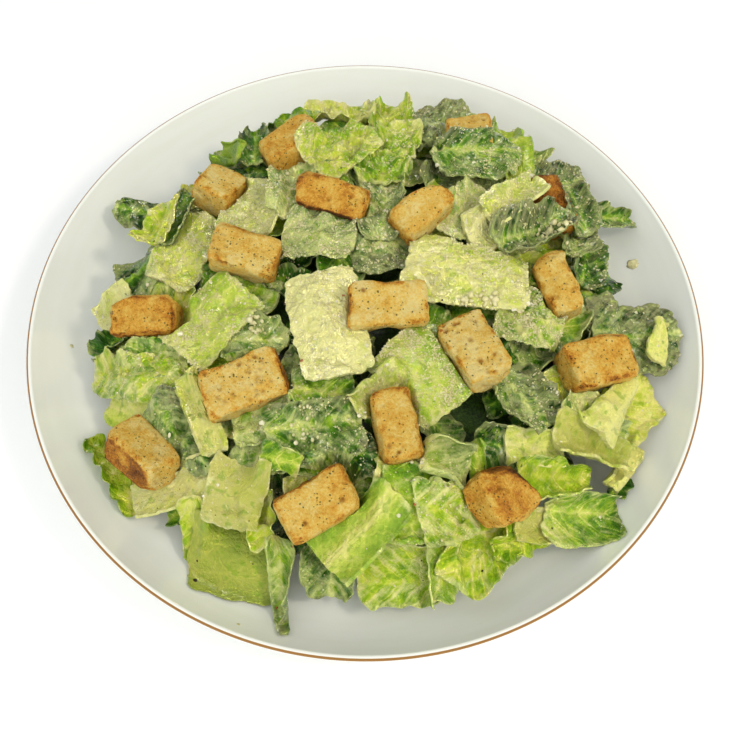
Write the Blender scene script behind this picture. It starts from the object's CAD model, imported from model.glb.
import math

import bpy
import numpy as np
from mathutils import Euler, Matrix, Vector
from mathutils.bvhtree import BVHTree


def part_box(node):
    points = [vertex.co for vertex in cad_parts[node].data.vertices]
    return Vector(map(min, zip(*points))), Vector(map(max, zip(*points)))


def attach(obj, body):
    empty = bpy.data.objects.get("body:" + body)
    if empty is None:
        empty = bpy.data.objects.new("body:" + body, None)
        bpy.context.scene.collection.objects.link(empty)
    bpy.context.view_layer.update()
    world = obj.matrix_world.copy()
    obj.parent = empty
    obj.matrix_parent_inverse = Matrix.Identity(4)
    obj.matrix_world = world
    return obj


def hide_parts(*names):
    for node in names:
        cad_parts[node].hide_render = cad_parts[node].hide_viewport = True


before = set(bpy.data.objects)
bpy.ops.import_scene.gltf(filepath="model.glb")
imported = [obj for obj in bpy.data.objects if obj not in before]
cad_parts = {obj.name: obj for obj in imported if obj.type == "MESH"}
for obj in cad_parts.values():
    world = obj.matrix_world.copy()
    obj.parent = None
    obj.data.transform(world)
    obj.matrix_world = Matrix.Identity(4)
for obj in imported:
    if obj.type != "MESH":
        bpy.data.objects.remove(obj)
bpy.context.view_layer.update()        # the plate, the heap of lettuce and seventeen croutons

mm = 0.001


# Small tools

def linearColour(code, alpha=1.0):
    parts = [int(code[i:i + 2], 16) / 255 for i in (1, 3, 5)]
    return tuple(c / 12.92 if c <= 0.04045 else ((c + 0.055) / 1.055) ** 2.4 for c in parts) + (alpha,)


def addNode(tree, kind, inputs=None, stops=None, **settings):
    node = tree.nodes.new("ShaderNode" + kind)
    for key, value in settings.items():
        setattr(node, key, value)
    for key, value in (inputs or {}).items():
        if isinstance(value, bpy.types.NodeSocket):
            tree.links.new(value, node.inputs[key])
        else:
            node.inputs[key].default_value = value
    if stops:
        marks = node.color_ramp.elements
        while len(marks) > 1:
            marks.remove(marks[-1])
        for i, (place, code) in enumerate(stops):
            mark = marks[0] if i == 0 else marks.new(place)
            mark.position = place
            mark.color = linearColour(code)
    return node


def newMaterial(name, **sockets):
    material = bpy.data.materials.new(name)
    material.use_nodes = True
    tree = material.node_tree
    shader = tree.nodes["Principled BSDF"]
    for key, value in sockets.items():
        shader.inputs[key.replace("_", " ")].default_value = value
    return material, tree, shader


def smoothStep(low, high, value):
    t = np.clip((value - low) / (high - low), 0, 1)
    return t * t * (3 - 2 * t)


def latticeValue(ix, iy, iz):
    n = (ix * 374761393 + iy * 668265263 + iz * 1274126177) & 0xffffffff
    n = ((n ^ (n >> 13)) * 1103515245) & 0xffffffff
    n = ((n ^ (n >> 15)) * 2246822519) & 0xffffffff
    return ((n ^ (n >> 16)) & 0xffff) / 65535.0


def softNoise(x, y, z):
    # smooth value noise from -1 to 1, one unit to a lump
    x, y, z = np.broadcast_arrays(np.asarray(x, float), np.asarray(y, float), np.asarray(z, float))
    ix, iy, iz = (np.floor(v).astype(np.int64) for v in (x, y, z))
    fx, fy, fz = x - ix, y - iy, z - iz
    fx, fy, fz = (f * f * (3 - 2 * f) for f in (fx, fy, fz))
    total = np.zeros(x.shape)
    for dx in (0, 1):
        for dy in (0, 1):
            for dz in (0, 1):
                weight = (fx if dx else 1 - fx) * (fy if dy else 1 - fy) * (fz if dz else 1 - fz)
                total += weight * latticeValue(ix + dx, iy + dy, iz + dz)
    return total * 2 - 1


def cellGap(x, y, seed):
    # how far the second nearest cell middle is past the nearest: 0 along the cells' borders
    x, y = np.broadcast_arrays(np.asarray(x, float), np.asarray(y, float))
    ix, iy = np.floor(x).astype(np.int64), np.floor(y).astype(np.int64)
    first = np.full(x.shape, 9.0)
    second = np.full(x.shape, 9.0)
    for dx in (-1, 0, 1):
        for dy in (-1, 0, 1):
            cx = ix + dx + 0.1 + 0.8 * latticeValue(ix + dx, iy + dy, np.int64(seed))
            cy = iy + dy + 0.1 + 0.8 * latticeValue(ix + dx, iy + dy, np.int64(seed + 57))
            away = np.hypot(cx - x, cy - y)
            second = np.where(away < first, first, np.minimum(second, away))
            first = np.minimum(first, away)
    return second - first


def buildMesh(name, verts, faces, values, material, sharp=None):
    # verts in millimetres; values: attribute name to one number, or three, for each vertex
    mesh = bpy.data.meshes.new(name)
    verts = np.asarray(verts, float) * mm
    faces = np.asarray(faces, np.int32)
    mesh.vertices.add(len(verts))
    mesh.vertices.foreach_set("co", verts.ravel())
    mesh.loops.add(faces.size)
    mesh.loops.foreach_set("vertex_index", faces.ravel())
    mesh.polygons.add(len(faces))
    mesh.polygons.foreach_set("loop_start", np.arange(0, faces.size, faces.shape[1], dtype=np.int32))
    mesh.update(calc_edges=True)
    for key, value in values.items():
        value = np.asarray(value, float)
        if value.ndim == 2:
            mesh.attributes.new(key, "FLOAT_VECTOR", "POINT").data.foreach_set("vector", value.ravel())
        else:
            mesh.attributes.new(key, "FLOAT", "POINT").data.foreach_set("value", value.ravel())
    mesh.validate()
    mesh.shade_smooth()
    if sharp:
        mesh.set_sharp_from_angle(angle=math.radians(sharp))
    mesh.materials.append(material)
    obj = bpy.data.objects.new(name, mesh)
    bpy.context.scene.collection.objects.link(obj)
    if name.startswith(("romaine", "dressing")):
        bpy.data.collections["wet things"].objects.link(obj)
    return obj


# Camera, floor and light

def addCamera():
    # close above the table, looking down at the middle of the salad from the diner's side
    view = {"distance": 0.420, "rimHeight": 0.026, "elevation": 60.517, "tilt": 2.261, "roll": 0.78, "lens": 53.346}
    up = math.radians(view["elevation"])
    down = math.radians(view["elevation"] + view["tilt"])
    roll = math.radians(view["roll"])
    place = Vector((0, -view["distance"] * math.cos(up), view["rimHeight"] + view["distance"] * math.sin(up)))
    forward = Vector((0, math.cos(down), -math.sin(down)))
    right = Vector((1, 0, 0))
    upward = right.cross(forward)
    side = right * math.cos(roll) + upward * math.sin(roll)
    top = upward * math.cos(roll) - right * math.sin(roll)
    data = bpy.data.cameras.new("camera")
    data.lens = view["lens"]
    data.sensor_width = 36
    data.clip_start = 0.01
    camera = bpy.data.objects.new("camera", data)
    turn = Matrix((side, top, -forward)).transposed().to_4x4()
    camera.matrix_world = Matrix.Translation(place) @ turn
    bpy.context.scene.collection.objects.link(camera)
    bpy.context.scene.camera = camera


def addAreaLight(name, place, target, size, power, colour, sizeY=None):
    data = bpy.data.lights.new(name, "AREA")
    data.energy = power
    data.size = size
    if sizeY:
        data.shape = "RECTANGLE"
        data.size_y = sizeY
    data.color = linearColour(colour)[:3]
    light = bpy.data.objects.new(name, data)
    light.location = place
    light.rotation_euler = (Vector(target) - Vector(place)).to_track_quat("-Z", "Y").to_euler()
    bpy.context.scene.collection.objects.link(light)
    return light


def addStudio():
    studio = {"floor": "#f8f8f6", "floorSize": 6.0, "skyFront": 1.92, "skyBack": 0.50,
              "skyLow": 0.62, "skyHigh": 1.08, "skyLeft": 1.09, "skyRight": 0.91}
    material, tree, shader = newMaterial("painted board, matt", Roughness=0.8)
    grain = addNode(tree, "TexNoise", {"Scale": 60.0, "Detail": 3.0})
    shade = addNode(tree, "ValToRGB", {0: grain.outputs["Fac"]}, stops=[(0.3, studio["floor"]), (0.7, "#fafaf9")])
    tree.links.new(shade.outputs[0], shader.inputs["Base Color"])
    half = studio["floorSize"] * 500
    floor = buildMesh("floor", [(-half, -half, 0), (half, -half, 0), (half, half, 0), (-half, half, 0)],
                      [(0, 1, 2, 3)], {}, material)
    world = bpy.data.worlds.new("studio")
    bpy.context.scene.world = world
    world.use_nodes = True
    tree = world.node_tree
    back = tree.nodes["Background"]
    back.inputs[0].default_value = linearColour("#f1f3f4")
    axis = addNode(tree, "SeparateXYZ", {0: addNode(tree, "TexCoord").outputs["Generated"]})
    sky = addNode(tree, "MapRange", {0: axis.outputs[1], 1: -0.8, 2: 0.8, 3: studio["skyFront"], 4: studio["skyBack"]})
    above = addNode(tree, "MapRange", {0: axis.outputs[2], 1: 0.0, 2: 1.0, 3: studio["skyLow"], 4: studio["skyHigh"]})
    aside = addNode(tree, "MapRange", {0: axis.outputs[0], 1: -0.8, 2: 0.8, 3: studio["skyLeft"], 4: studio["skyRight"]})
    level = addNode(tree, "Math", {0: sky.outputs[0], 1: above.outputs[0]}, operation="MULTIPLY")
    level = addNode(tree, "Math", {0: level.outputs[0], 1: aside.outputs[0]}, operation="MULTIPLY")
    tree.links.new(level.outputs[0], back.inputs[1])
    world.cycles_visibility.glossy = False
    key = addAreaLight("key", (0.60, -0.26, 0.95), (0, 0, 0.02), 0.16, 2.8, "#fff2df")
    key.visible_glossy = False
    glint = addAreaLight("glint", (0.12, 0.62, 1.12), (0, 0, 0.03), 0.34, 8.0, "#fffaf2")
    glint.visible_diffuse = False
    bpy.data.collections.new("wet things")
    glint.light_linking.receiver_collection = bpy.data.collections["wet things"]
    window = addAreaLight("window", (-0.35, -0.55, 0.78), (0.02, 0.04, 0.02), 0.4, 0.35, "#f4f7ff")
    window.visible_glossy = False
    scene = bpy.context.scene
    scene.view_settings.view_transform = "Standard"
    scene.view_settings.look = "None"


# Plate

plate = {
    "radius": 130.0, "height": 27.5, "floorRadius": 82.0, "floorTop": 7.0,
    "wallAtFoot": 4.2, "wallAtLip": 2.4, "footOuter": 81.0, "footInner": 76.0,
    "steps": 224, "thickenFrom": 112.0, "thickenTo": 127.8, "thicken": 2.15,
}


def plateInside(radius):
    lip = plate["radius"] - plate["wallAtLip"] / 2
    t = np.clip((np.asarray(radius, float) - plate["floorRadius"]) / (lip - plate["floorRadius"]), 0, 1)
    rise = plate["height"] - plate["wallAtLip"] / 2 - plate["floorTop"]
    lipSide = plate["thicken"] * smoothStep(plate["thickenFrom"], plate["thickenTo"], np.asarray(radius, float))
    return plate["floorTop"] + rise * (0.55 * t ** 2 + 0.45 * t ** 6) + lipSide


def besidePlate(radius, away):
    slope = (plateInside(radius + 0.5) - plateInside(radius - 0.5))
    length = np.hypot(1.0, slope)
    return radius - away * slope / length, plateInside(radius) + away / length


def glazedChina():
    # glazed china, fired glossy: cool highlights over a warm cream-white body, a tan line on the lip
    material, tree, shader = newMaterial("china, cream glaze", Roughness=0.16, IOR=1.52)
    cloud = addNode(tree, "TexNoise", {"Scale": 9.0, "Detail": 2.0})
    body = addNode(tree, "ValToRGB", {0: cloud.outputs["Fac"]}, stops=[(0.3, "#f3f4e9"), (0.7, "#f6f7ee")])
    line = addNode(tree, "Attribute", attribute_name="line")
    edge = addNode(tree, "Mix", {0: line.outputs["Fac"], 6: body.outputs[0], 7: linearColour("#9a6f3a")},
                   data_type="RGBA")
    tree.links.new(edge.outputs[2], shader.inputs["Base Color"])
    orange = addNode(tree, "TexNoise", {"Scale": 260.0, "Detail": 1.0})
    bump = addNode(tree, "Bump", {"Height": orange.outputs["Fac"], "Strength": 0.04, "Distance": 0.0004})
    tree.links.new(bump.outputs[0], shader.inputs["Normal"])
    shader.inputs["Coat Weight"].default_value = 0.5
    shader.inputs["Coat Roughness"].default_value = 0.05
    return material


def addPlate():
    lipHalf = plate["wallAtLip"] / 2
    radii = np.concatenate([np.linspace(0, 78, 9), np.linspace(80, 127.7, 44)])
    profile = [(r, float(plateInside(r)), 0.0) for r in radii]
    for degrees in range(144, -50, -9):
        a = math.radians(degrees)
        z = plate["height"] - lipHalf + lipHalf * math.sin(a)
        line = 1.0 if 27 <= degrees <= 72 else 0.0
        profile.append((plate["radius"] - lipHalf + lipHalf * math.cos(a), z, line))
    for i in range(16, 0, -1):
        wall = plate["wallAtFoot"] + (plate["wallAtLip"] - plate["wallAtFoot"]) * i / 17
        radius = plate["floorRadius"] + (plate["radius"] - plate["wallAtLip"] - plate["floorRadius"]) * i / 17
        r, z = besidePlate(radius, -wall)
        profile.append((float(r), float(z), 0.0))
    under = plate["floorTop"] - plate["wallAtFoot"]
    outer, inner = plate["footOuter"], plate["footInner"]
    profile += [(outer + 0.6, under, 0), (outer + 0.1, 0.5, 0), (outer - 0.4, 0.0, 0), (inner + 0.4, 0.0, 0),
                (inner - 0.1, 0.5, 0), (inner - 0.6, under, 0), (inner / 2, under, 0), (0.0, under, 0)]
    steps = plate["steps"]
    turn = np.arange(steps) * math.tau / steps
    rings = [p for p in profile if p[0] > 0]
    verts = [np.column_stack([r * np.cos(turn), r * np.sin(turn), np.full(steps, z)]) for r, z, line in rings]
    lines = [np.full(steps, line) for r, z, line in rings]
    verts = np.concatenate(verts + [np.array([[0, 0, plate["floorTop"]], [0, 0, under]])])
    lines = np.concatenate(lines + [np.zeros(2)])
    around = np.arange(steps)
    onward = (around + 1) % steps
    faces = []
    for k in range(len(rings) - 1):
        a, b = k * steps, (k + 1) * steps
        faces.append(np.column_stack([a + around, b + around, b + onward, a + onward]))
    body = buildMesh("china_plate", verts, np.concatenate(faces), {"line": lines}, glazedChina())
    last = (len(rings) - 1) * steps
    closeMiddle(body, len(verts) - 2, around, onward, False)
    closeMiddle(body, len(verts) - 1, last + around, last + onward, True)
    body.data.set_sharp_from_angle(angle=math.radians(50))
    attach(body, "root")
    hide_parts("plate")


def closeMiddle(obj, middle, ring, onward, under):
    import bmesh
    bm = bmesh.new()
    bm.from_mesh(obj.data)
    bm.verts.ensure_lookup_table()
    for a, b in zip(ring, onward):
        corners = [bm.verts[int(a)], bm.verts[int(b)], bm.verts[middle]]
        face = bm.faces.new(corners[::-1] if under else corners)
        face.smooth = True
    bm.to_mesh(obj.data)
    bm.free()


# Heap of romaine. Places and sizes in millimetres, angles in degrees.

heap = {
    "centre": (3.0, 4.0), "radius": 112.0, "base": 10.0, "top": 56.0, "flatness": 2.4, "fall": 0.7,
    "clearance": 3.5, "coreDepth": 15.0, "coreRadius": 80.0, "edge": 126.0,
}

# How each kind of cut piece is made: thickness, midrib ridge and its width, blisters between the veins and
# their size, ruffle of the grown margin and its wavelength, slow waviness, ragged outline, sag, roll, twist,
# warmth of colour, mesh step, fold along the midrib, curl of the corners, slope of the creases, evenness of
# colour and clearness (a juicy rib end that the light goes through)
leafKinds = {
    "slab":  (1.3, 0.4, 6.0, 0.15, 7.0, 0.5, 12.0, 1.0, 0.07, 0.15, 0, 0, 0.45, 0.75, 0.3, 2.0, 0.18, 0.6, 0.0),
    "clear": (1.1, 0.4, 6.0, 0.12, 7.0, 0.7, 11.0, 1.1, 0.06, 0.15, 0, 0, 0.70, 0.75, 0.4, 3.0, 0.22, 0.8, 1.0),
    "rib":   (2.2, 1.5, 3.5, 0.06, 7.0, 0.4, 12.0, 0.7, 0.06, 0.10, 0, 14, 0.40, 0.75, 0.0, 1.5, 0.06, 0.7, 0.3),
    "heart": (0.8, 0.5, 1.6, 0.80, 5.2, 1.5, 9.0, 1.5, 0.10, 0.25, 0, 0, 0.75, 0.70, 1.4, 5.0, 0.36, 0.0, 0.0),
    "frill": (0.7, 0.3, 1.6, 0.90, 4.4, 2.1, 7.5, 1.6, 0.11, 0.30, 0, 10, 0.70, 0.70, 0.6, 2.6, 0.36, 0.0, 0.0),
    "mid":   (0.9, 0.8, 1.6, 0.80, 5.4, 1.3, 9.0, 1.4, 0.10, 0.22, 0, 0, 0.25, 0.70, 1.8, 5.0, 0.38, 0.0, 0.0),
    "outer": (0.8, 0.7, 1.5, 1.45, 4.8, 1.5, 8.5, 2.0, 0.10, 0.25, 0, 0, 0.10, 0.70, 2.4, 2.6, 0.44, 0.0, 0.0),
    "strip": (0.9, 0.6, 1.5, 0.25, 6.0, 0.7, 10.0, 1.0, 0.08, 0.20, 0, 40, 0.25, 0.70, 1.5, 2.0, 0.12, 0.3, 0.0),
    "roll":  (0.9, 0.3, 2.0, 0.25, 6.0, 0.5, 10.0, 0.6, 0.06, 0.00, 240, 0, 0.30, 0.70, 0.0, 0.0, 0.0, 0.4, 0.3),
}

# kind, x, y, turn, length, width, lift, dip, cant, cup, taper, tone at the start and at the far end of its
# length (0 pale rib to 1 dark outer leaf), grated cheese and dressing on it. Laid from the rim up to the top.
romaine = [
    ("outer", -83, 47, 166, 40, 15, 5, -8, 4, -5, 0.8, 0.85, 0.95, 0.1, 0.6),
    ("strip", -87, 13, 32, 30, 6, 4, 0, 0, -4, 0.6, 0.9, 0.85, 0.0, 0.3),
    ("slab", -97, 1, 20, 18, 16, -1, 0, 0, 3, 0.8, 0.1, 0.2, 0.2, 0.9),
    ("outer", -89, -12, 196, 34, 11, 3, 8, 6, 4, 0.7, 0.85, 0.95, 0.0, 0.4),
    ("slab", -83, -42, 160, 36, 18, -1, 8, 0, -2, 0.7, 0.30, 0.20, 0.0, 0.3),
    ("heart", -85, -29, 170, 50, 19, 3, 10, -6, -3, 0.8, 0.46, 0.40, 0.15, 0.7),
    ("frill", -93, -60, 126, 38, 10, 1, 0, 14, 3, 0.8, 0.34, 0.50, 0.0, 0.2),
    ("mid", -62, -76, 200, 22, 9, -1, 4, 0, 2, 0.6, 0.7, 0.7, 0.0, 0.4),
    ("rib", -67, -69, 198, 38, 14, 2, 10, -4, 4, 0.75, 0.20, 0.12, 0.1, 0.7),
    ("heart", -59, -84, 255, 24, 11, 0, 6, 0, 2, 0.5, 0.2, 0.5, 0.0, 0.4),
    ("clear", -47, -96, 176, 34, 28, 0, 2, -2, -4, 1.05, 0.60, 0.42, 0.0, 0.1),
    ("heart", -34, -82, 272, 24, 10, 3, 0, 10, 3, 0.8, 0.30, 0.34, 0.0, 0.5),
    ("strip", -26, -103, 268, 38, 7, 2, 4, 14, 3, 0.45, 0.62, 0.85, 0.0, 0.7),
    ("outer", -11, -97, 268, 22, 19, 0, 0, 0, 6, 0.8, 0.7, 0.72, 0.1, 0.8),
    ("heart", 13, -97, 180, 32, 26, 1, 0, -6, 5, 0.9, 0.40, 0.42, 0.0, 0.6),
    ("strip", 28, -95, 262, 30, 11, 4, 4, 14, 4, 0.6, 0.35, 0.45, 0.0, 0.6),
    ("heart", 40, -90, 236, 34, 22, 3, 2, 8, 5, 0.8, 0.40, 0.40, 0.0, 0.5),
    ("frill", 54, -87, 232, 22, 16, 0, 2, -8, 3, 0.8, 0.42, 0.42, 0.0, 0.3),
    ("clear", 62, -81, 0, 20, 14, 0, 4, 0, 2, 0.9, 0.22, 0.22, 0.0, 0.4),
    ("mid", 78, -76, 354, 37, 20, 2, 4, -8, 3, 0.95, 0.34, 0.60, 0.0, 0.5),
    ("outer", 92, -61, 60, 10, 8, 2, 0, 0, 3, 0.6, 0.9, 0.9, 0.0, 0.3),
    ("rib", 94, -55, 50, 24, 8, 2, 2, 10, 3, 0.8, 0.14, 0.04, 0.0, 0.3),
    ("heart", 99, -33, 30, 30, 25, 1, 4, 0, 4, 0.8, 0.26, 0.14, 0.0, 0.3),
    ("outer", 86, 22, 70, 30, 13, 0, 0, 0, 3, 0.8, 0.9, 0.85, 0.2, 0.5),
    ("outer", 101, -8, 10, 42, 32, 5, -3, 6, -4, 0.8, 0.85, 0.95, 0.05, 0.8),
    ("slab", 108, -7, 72, 20, 9, 8, 0, 4, 0, 0.35, 0.12, 0.15, 0.0, 0.4),
    ("outer", 93, 48, 10, 34, 12, 3, -4, 8, 4, 0.45, 0.80, 0.75, 0.1, 0.6),
    ("outer", 76, 64, 30, 36, 24, 3, -4, 4, -3, 0.7, 0.85, 0.9, 0.2, 0.8),
    ("frill", 65, 75, 60, 18, 15, 2, -4, 0, 4, 0.8, 0.5, 0.5, 0.2, 0.6),
    ("slab", 55, 70, 88, 36, 13, 3, -6, 6, 4, 0.8, 0.38, 0.48, 0.1, 0.2),
    ("outer", 30, 90, 35, 36, 28, 4, -12, 10, -4, 0.9, 0.85, 0.9, 0.15, 0.9),
    ("frill", 9, 86, 80, 24, 16, 2, -8, 4, 5, 0.8, 0.35, 0.3, 0.3, 0.3),
    ("heart", -14, 90, 170, 34, 18, 3, -6, 4, 5, 0.9, 0.15, 0.28, 0.2, 0.6),
    ("heart", -32, 86, 140, 24, 17, 3, -4, 4, 3, 0.7, 0.5, 0.6, 0.0, 0.05),
    ("outer", -45, 71, 95, 26, 12, 3, -4, 8, 4, 0.6, 0.75, 0.8, 0.1, 0.5),
    ("roll", -55, 66, 150, 13, 17, 1, -2, 0, 0, 1.0, 0.46, 0.5, 0.0, 0.1),
    ("frill", -67, 50, 96, 20, 12, 0, 0, 0, 3, 0.7, 0.25, 0.2, 0.3, 0.4),
    ("outer", 6, 17, 20, 28, 24, -4, 0, 0, 3, 0.9, 0.85, 0.7, 0.6, 0.9),
    ("mid", 46, 48, 120, 26, 18, -4, 0, 0, 3, 0.9, 0.7, 0.8, 0.4, 0.9),
    ("slab", -69, 20, 66, 36, 21, 2, 0, 4, -2, 0.9, 0.24, 0.30, 0.9, 0.6),
    ("outer", -72, 35, 74, 28, 9, 2, 0, 12, 4, 0.8, 0.9, 0.9, 0.1, 0.6),
    ("heart", -77, 33, 80, 24, 14, 6, 2, -4, 3, 0.8, 0.12, 0.24, 0.2, 0.4),
    ("slab", -43, 36, 79, 30, 22, 1, 2, -4, 3, 0.9, 0.22, 0.30, 0.9, 0.8),
    ("outer", 6, 33, 86, 30, 18, 0, 0, -6, 4, 0.9, 0.75, 0.6, 0.5, 0.8),
    ("mid", -29, 44, 85, 32, 18, 1, 0, 8, 3, 0.9, 0.5, 0.6, 0.7, 0.9),
    ("mid", -18, 20, 349, 28, 24, 0, 0, 0, 3, 0.9, 0.5, 0.6, 0.9, 0.9),
    ("frill", 9, 64, 78, 36, 22, 2, 0, -6, 5, 0.8, 0.5, 0.4, 0.3, 0.5),
    ("slab", 58, 62, 86, 30, 13, 3, 0, 10, 3, 0.9, 0.42, 0.5, 0.1, 0.2),
    ("mid", 36, 34, 55, 28, 18, 2, 0, 6, 3, 0.9, 0.35, 0.3, 0.8, 0.8),
    ("rib", 54, 34, 40, 46, 15, 3, 0, 8, 3, 0.7, 0.15, 0.25, 0.7, 0.8),
    ("outer", 80, 36, 80, 32, 16, 2, 0, 8, 4, 0.8, 0.85, 0.85, 0.3, 0.8),
    ("outer", 47, -58, 356, 18, 16, 1, 0, 0, 3, 0.9, 0.8, 0.85, 0.1, 0.6),
    ("slab", 60, -57, 2, 24, 12, 1, 0, 0, 3, 0.9, 0.25, 0.2, 0.0, 0.6),
    ("heart", 68, -65, 5, 32, 12, 1, 0, 4, 3, 0.8, 0.36, 0.42, 0.0, 0.4),
    ("outer", 57, -42, 314, 26, 20, 1, 0, -8, 4, 0.9, 0.85, 0.85, 0.3, 0.8),
    ("mid", 77, -43, 80, 20, 17, 3, 0, -6, 3, 0.9, 0.20, 0.38, 0.1, 0.7),
    ("outer", 88, -46, 350, 18, 12, 2, 0, 0, 3, 0.7, 0.6, 0.6, 0.0, 0.9),
    ("clear", 81, -54, 346, 33, 13, 3, 0, -20, 5, 0.6, 0.24, 0.40, 0.0, 0.3),
    ("rib", 89, -40, 52, 29, 13, 5, 0, 6, -2, 0.4, 0.14, 0.08, 0.0, 0.4),
    ("mid", 60, -10, 348, 26, 24, 2, 0, 4, -3, 0.9, 0.46, 0.52, 0.9, 0.7),
    ("slab", 37, 4, 351, 48, 28, 4, 0, 0, -2, 0.78, 0.14, 0.24, 0.5, 0.7),
    ("heart", -52, -27, 26, 24, 12, 1, 0, 0, 3, 0.8, 0.5, 0.6, 0.1, 0.3),
    ("mid", -40, -22, 10, 26, 18, 1, 0, -6, 4, 0.9, 0.75, 0.6, 0.3, 0.8),
    ("slab", -56, -13, 46, 36, 28, 4, 0, 2, -3, 0.85, 0.18, 0.38, 0.6, 0.5),
    ("outer", -64, -54, 312, 36, 17, 2, 0, -6, -3, 0.7, 0.85, 0.85, 0.1, 0.8),
    ("rib", -56, -48, 292, 31, 10, 3, 2, 10, 3, 0.7, 0.20, 0.18, 0.1, 0.4),
    ("mid", -34, -51, 12, 24, 18, 1, 0, 0, 2, 0.9, 0.55, 0.45, 0.2, 0.8),
    ("mid", -15, -43, 350, 24, 18, 1, 0, 0, 2, 0.9, 0.5, 0.5, 0.2, 0.6),
    ("outer", 0, -64, 350, 18, 16, 3, 0, 0, 3, 0.9, 0.95, 0.95, 0.2, 0.5),
    ("mid", -17, -57, 8, 38, 24, 2, 0, 4, 2, 0.8, 0.75, 0.85, 0.2, 0.7),
    ("mid", -28, -66, 346, 15, 9, 3, 0, 0, 0, 0.7, 0.75, 0.25, 0.0, 0.4),
    ("clear", -44, -76, 343, 23, 23, 3, 0, 0, -4, 0.95, 0.04, 0.30, 0.05, 0.4),
    ("rib", 13, -70, 353, 18, 15, 2, 0, 0, 2, 0.9, 0.15, 0.15, 0.0, 0.5),
    ("slab", 15, -80, 350, 20, 28, 1, 0, 0, -2, 0.9, 0.54, 0.48, 0.1, 0.5),
    ("rib", -1, -87, 48, 34, 20, 4, 0, -8, 4, 0.85, 0.42, 0.52, 0.0, 0.3),
    ("strip", 39, -66, 100, 20, 8, 3, 0, 0, 2, 0.8, 0.4, 0.45, 0.0, 0.4),
    ("frill", 28, -80, 12, 22, 24, 3, 0, 6, 4, 0.9, 0.45, 0.45, 0.2, 0.7),
    ("roll", 28, -65, 345, 18, 26, 3, 0, 0, 0, 1.0, 0.25, 0.7, 0.1, 0.8),
    ("roll", 4, -42, 44, 22, 18, 1, 0, 12, 0, 0.8, 0.2, 0.25, 0.3, 0.7),
    ("slab", 20, -36, 312, 34, 26, 4, 0, 0, -3, 0.9, 0.36, 0.40, 0.8, 0.6),
    ("slab", -13, -18, 282, 44, 27, 5, 0, 0, -2, 1.0, 0.0, 0.10, 0.35, 1.0),
]

# Pieces that lie partly on a crouton
laidOver = [
    ("heart", -11, 65, 35, 33, 25, 4, 0, 4, -3, 0.8, 0.24, 0.34, 0.6, 0.5),
    ("mid", 43, 62, 2, 36, 25, 4, 0, 6, -4, 0.9, 0.78, 0.70, 0.35, 0.65),
    ("outer", 81, 44, 98, 30, 15, 4, 0, -14, 4, 0.8, 0.85, 0.9, 0.3, 0.7),
    ("slab", 55, 38, 44, 32, 13, 4, 0, -6, 3, 0.9, 0.20, 0.30, 0.5, 0.7),
    ("outer", 62, 25, 32, 36, 18, 5, 0, -10, 5, 0.8, 0.95, 0.95, 0.3, 0.7),
]

# Gaps between the pieces that stay open down to the shade: x, y, radius
darkGaps = [(-3.5, -35, 7), (29, -47, 9), (57, -25, 8), (54, -57, 6), (34, -71, 6), (48, 47, 3)]

flank = {"count": 27, "rows": ((94, -15, 24), (84, -9, 8)), "seed": 44}
fillers = {"count": 125, "seed": 21, "length": (16, 30), "width": (11, 20), "apart": 14.5}


def domeHeight(x, y):
    away = np.hypot(x - heap["centre"][0], y - heap["centre"][1]) / heap["radius"]
    fullness = np.maximum(0.0, 1.0 - away ** heap["flatness"]) ** heap["fall"]
    return heap["base"] + (heap["top"] - heap["base"]) * fullness


def domeNormal(x, y):
    step = 4.0
    dx = (domeHeight(x + step, y) - domeHeight(x - step, y)) / (2 * step)
    dy = (domeHeight(x, y + step) - domeHeight(x, y - step)) / (2 * step)
    slope = Vector((-dx, -dy, 1.0)).normalized()
    return (slope + Vector((0.0, 0.0, 0.6))).normalized()


def leafPlace(x, y, turn, lift, dip, cant):
    up = domeNormal(x, y)
    along = Vector((math.cos(math.radians(turn)), math.sin(math.radians(turn)), 0.0))
    along = (along - up * along.dot(up)).normalized()
    across = up.cross(along)
    base = Matrix((along, across, up)).transposed()
    ground = max(float(domeHeight(x, y)), float(plateInside(math.hypot(x, y))) + heap["clearance"])
    tilt = Matrix.Rotation(math.radians(dip), 3, "Y") @ Matrix.Rotation(math.radians(cant), 3, "X")
    return np.array(base @ tilt), np.array((x, y, ground)) + np.array(up) * lift


# Maps of the heap seen from above, one value to a square millimetre
mapSize = 276


def blankMap(value):
    return np.full((mapSize, mapSize), float(value))


def mapCell(v):
    return v + mapSize / 2


def sampleMap(field, x, y):
    u = np.clip(mapCell(x), 0, mapSize - 1.001)
    v = np.clip(mapCell(y), 0, mapSize - 1.001)
    i, j = u.astype(int), v.astype(int)
    fu, fv = u - i, v - j
    low = field[i, j] * (1 - fu) + field[i + 1, j] * fu
    high = field[i, j + 1] * (1 - fu) + field[i + 1, j + 1] * fu
    return low * (1 - fv) + high * fv


def raiseMap(field, x, y, z):
    i = np.clip(np.rint(mapCell(x)), 0, mapSize - 1).astype(int)
    j = np.clip(np.rint(mapCell(y)), 0, mapSize - 1).astype(int)
    np.maximum.at(field, (i.ravel(), j.ravel()), z.ravel())


def blurGrid(field):
    wide = np.pad(field, 1, mode="edge")
    return (wide[:-2, 1:-1] + wide[2:, 1:-1] + wide[1:-1, :-2] + wide[1:-1, 2:] + 2 * wide[1:-1, 1:-1]) / 6


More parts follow.
